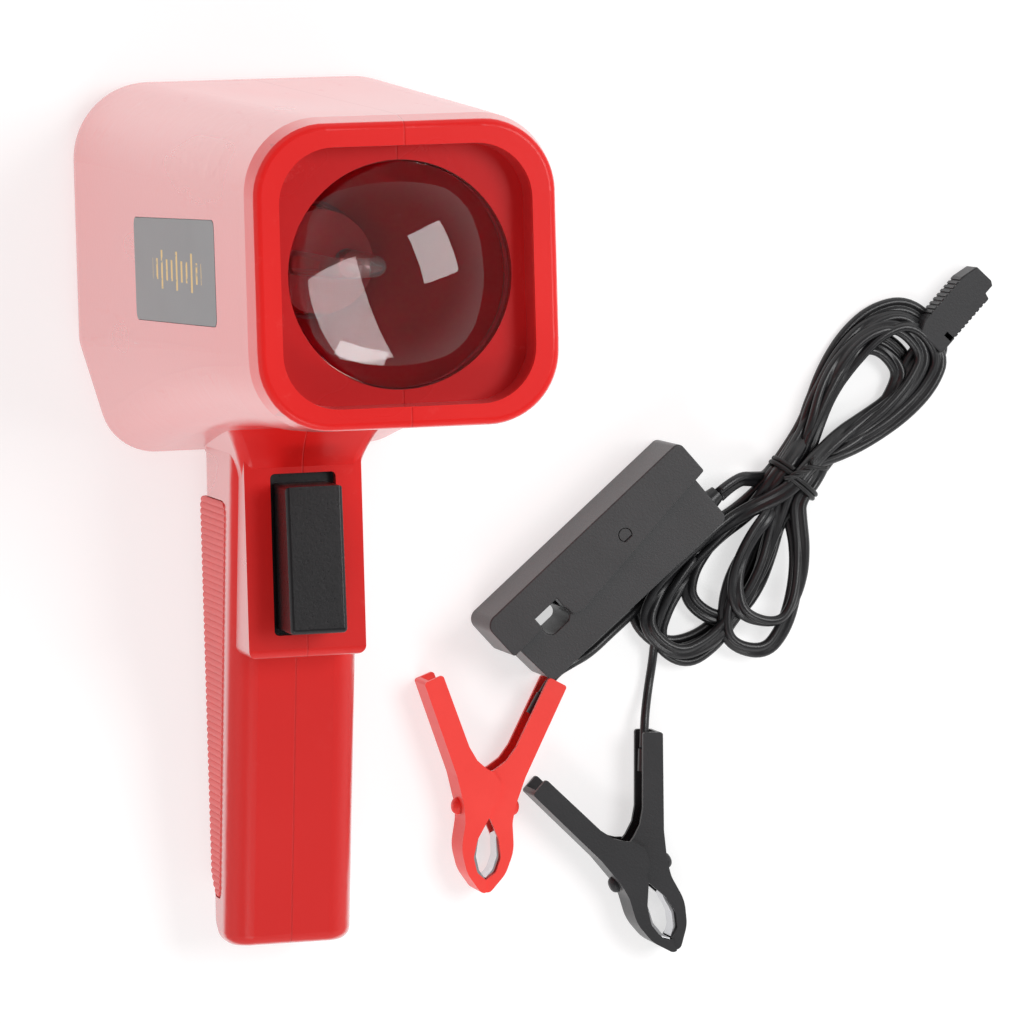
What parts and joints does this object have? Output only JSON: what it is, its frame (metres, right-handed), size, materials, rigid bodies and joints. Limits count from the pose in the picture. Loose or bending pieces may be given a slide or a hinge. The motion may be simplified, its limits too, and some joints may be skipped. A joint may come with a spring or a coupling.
{
  "type": "timing light",
  "caption": "Inductive automotive timing light: pistol-grip strobe gun with deep-set lens and push button, beside its lead set with plug, pickup clamp and battery clips.",
  "frame": {"origin": "middle of the flat tail face that the gun stands on", "axes": "+Z along the beam, out of the lens; +Y to the top of the gun, the grip points to -Y"},
  "size_m": [0.2509, 0.2372, 0.175],
  "materials": {
    "red_shell": "moulded, glossy",
    "screw_steel": "zinc plated",
    "plate": "printed, satin",
    "grip_pad": "fine ribs",
    "lens_glass": "clear, polished",
    "inner_red": "moulded",
    "pale_plastic": "moulded",
    "tube_glass": "clear",
    "board": "phenolic laminate",
    "dark_part": "moulded",
    "capacitor_sleeve": "shrunk sleeve",
    "copper": "enamelled wire",
    "cord_black": "soft sheath, satin",
    "button_black": "satin",
    "spring_steel": "drawn wire",
    "contact_brass": "turned",
    "clamp_black": "fine texture",
    "ferrite": "ground",
    "plug_black": "satin",
    "tie_black": "satin",
    "clip_red": "moulded",
    "clip_black": "moulded",
    "jaw_steel": "bright"
  },
  "bodies": {
    "timing_light": {"black_base_jaw": "jaw_steel", "black_base_rivet": "clip_black", "black_clip_base": "clip_black", "black_clip_spring": "spring_steel", "black_terminal": "cord_black", "black_wire": "cord_black", "board_components": "dark_part", "case_screws": "screw_steel", "circuit_board": "board", "cord_hank": "cord_black", "core_lower": "ferrite", "flash_tube": "tube_glass", "grip_pad_left": "grip_pad", "grip_pad_right": "grip_pad", "housing_left": "red_shell", "housing_right": "red_shell", "lamp_base": "inner_red", "lamp_lead": "cord_black", "lead_clip": "dark_part", "lens": "lens_glass", "lens_retainer": "inner_red", "micro_switch": "dark_part", "pickup_body": "clamp_black", "pickup_coil": "copper", "pickup_cord": "cord_black", "pickup_gland": "cord_black", "pickup_spring": "spring_steel", "plate_left": "plate", "plate_right": "plate", "plug_body": "plug_black", "plug_contacts": "contact_brass", "plug_cord": "cord_black", "red_base_jaw": "jaw_steel", "red_base_rivet": "clip_red", "red_clip_base": "clip_red", "red_clip_spring": "spring_steel", "red_terminal": "cord_black", "red_wire": "cord_black", "reflector": "inner_red", "socket_body": "dark_part", "socket_pins": "contact_brass", "storage_capacitor": "capacitor_sleeve", "supply_lead": "cord_black", "switch_carrier": "pale_plastic", "transformer": "dark_part", "trigger_coil": "copper", "trigger_spring": "spring_steel", "twist_tie": "tie_black"},
    "trigger": {"trigger_button": "button_black"},
    "pickup_lever": {"pickup_shell": "clamp_black", "core_upper": "ferrite", "pickup_pin": "clamp_black"},
    "red_lever": {"red_clip_lever": "clip_red", "red_lever_jaw": "jaw_steel", "red_lever_rivet": "clip_red", "red_clip_pin": "spring_steel"},
    "black_lever": {"black_clip_lever": "clip_black", "black_lever_jaw": "jaw_steel", "black_lever_rivet": "clip_black", "black_clip_pin": "spring_steel"}
  },
  "joints": [
    {"name": "trigger_press", "type": "slide", "parent": "timing_light", "child": "trigger", "axis": [0, 0, -1], "range_m": [0, 0.004], "stiffness_N_per_m": 250, "springref_m": -0.006, "deforming": ["trigger_spring"]},
    {"name": "pickup_squeeze", "type": "hinge", "parent": "timing_light", "child": "pickup_lever", "pos_m": [0.09536, -0.07842, 0.01], "axis": [0, 0, -1], "range_deg": [0, 10], "stiffness_Nm_per_rad": 0.3, "springref_deg": -28.65},
    {"name": "red_clip_open", "type": "hinge", "parent": "timing_light", "child": "red_lever", "pos_m": [0.0589, -0.1463, 0.0058], "axis": [0, 0, -1], "range_deg": [0, 30], "stiffness_Nm_per_rad": 0.12, "springref_deg": -34.38},
    {"name": "black_clip_open", "type": "hinge", "parent": "timing_light", "child": "black_lever", "pos_m": [0.0995, -0.167, 0.0058], "axis": [0, 0, -1], "range_deg": [0, 30], "stiffness_Nm_per_rad": 0.12, "springref_deg": -34.38}
  ]
}
